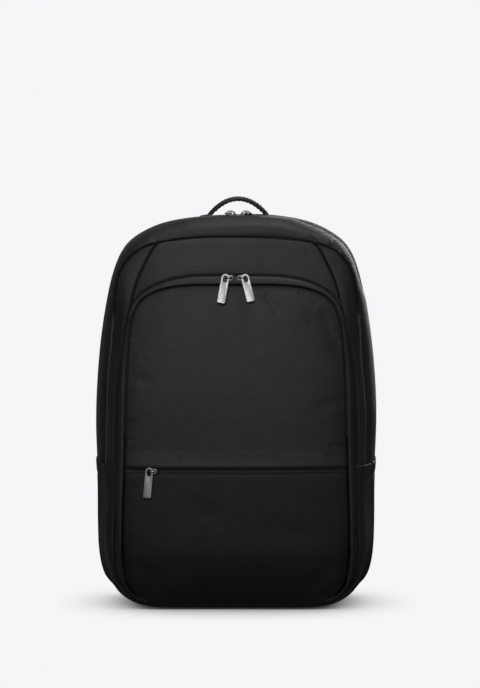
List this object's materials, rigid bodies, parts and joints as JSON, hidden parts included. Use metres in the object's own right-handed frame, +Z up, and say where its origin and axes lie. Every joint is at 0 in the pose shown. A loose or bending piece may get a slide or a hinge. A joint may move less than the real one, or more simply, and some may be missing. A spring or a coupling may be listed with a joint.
{
  "type": "laptop backpack",
  "caption": "Soft laptop backpack with an arched zipped front pocket, a straight zip across its face, side pockets, padded straps and an arched top handle.",
  "frame": {"origin": "middle of the flat underside, on the surface that the bag stands on, 8 mm in front of the main zip's front edge", "axes": "+Z up towards the handle, +Y towards the wearer's back, +X to the right of someone who looks at the front"},
  "size_m": [0.3244, 0.2017, 0.462],
  "materials": {
    "nylon": "black coated nylon with a soft sheen",
    "lower_nylon": "black nylon, a little deeper and more matt",
    "zip_tape": "black woven tape with a coil zip",
    "mesh_pad": "black air mesh over foam",
    "strap_nylon": "black nylon over foam with bound edges",
    "webbing": "black woven webbing",
    "leatherette": "black grained leatherette with stitched edges",
    "buckle": "black moulded plastic",
    "polished_metal": "polished nickel plate"
  },
  "bodies": {
    "bag": {"rear_shell": "nylon", "front_shell": "nylon", "main_zip": "zip_tape", "base_gusset": "nylon", "front_gusset": "nylon", "yoke": "nylon", "zip_flap": "nylon", "door": "nylon", "lower_panel": "lower_nylon", "front_zip": "zip_tape", "pocket_zip": "zip_tape", "back_pad": "mesh_pad", "handle": "leatherette", "side_pocket_right": "nylon", "side_pocket_left": "nylon", "strap_right": "strap_nylon", "strap_left": "strap_nylon", "ladder_lock_right": "buckle", "ladder_lock_left": "buckle", "wing_right": "nylon", "wing_left": "nylon", "webbing_right": "webbing", "webbing_left": "webbing", "webbing_tail_right": "webbing", "webbing_tail_left": "webbing", "slider_top_left": "polished_metal", "slider_top_right": "polished_metal", "slider_front_left": "polished_metal", "slider_front_right": "polished_metal", "slider_pocket": "polished_metal"},
    "pull_top_left": {"puller_top_left": "polished_metal"},
    "pull_top_right": {"puller_top_right": "polished_metal"},
    "pull_front_left": {"puller_front_left": "polished_metal"},
    "pull_front_right": {"puller_front_right": "polished_metal"},
    "pull_pocket": {"puller_pocket": "polished_metal"}
  },
  "joints": [
    {"name": "top_left_swing", "type": "hinge", "parent": "bag", "child": "pull_top_left", "pos_m": [-0.0085, 0.014, 0.44001], "axis": [0, 0, 1], "range_deg": [-10, 80]},
    {"name": "top_right_swing", "type": "hinge", "parent": "bag", "child": "pull_top_right", "pos_m": [0.0137, 0.014, 0.44002], "axis": [0, 0, 1], "range_deg": [-80, 10]},
    {"name": "front_left_swing", "type": "hinge", "parent": "bag", "child": "pull_front_left", "pos_m": [-0.0116, -0.0505, 0.37148], "axis": [-0.003, -0.9489, 0.3155], "range_deg": [-80, 15]},
    {"name": "front_right_swing", "type": "hinge", "parent": "bag", "child": "pull_front_right", "pos_m": [0.0104, -0.0505, 0.37148], "axis": [0.0024, -0.9489, 0.3155], "range_deg": [-15, 80]},
    {"name": "pocket_swing", "type": "hinge", "parent": "bag", "child": "pull_pocket", "pos_m": [-0.09565, -0.07843, 0.15747], "axis": [-0.1638, -0.9855, 0.0434], "range_deg": [-80, 15]}
  ]
}
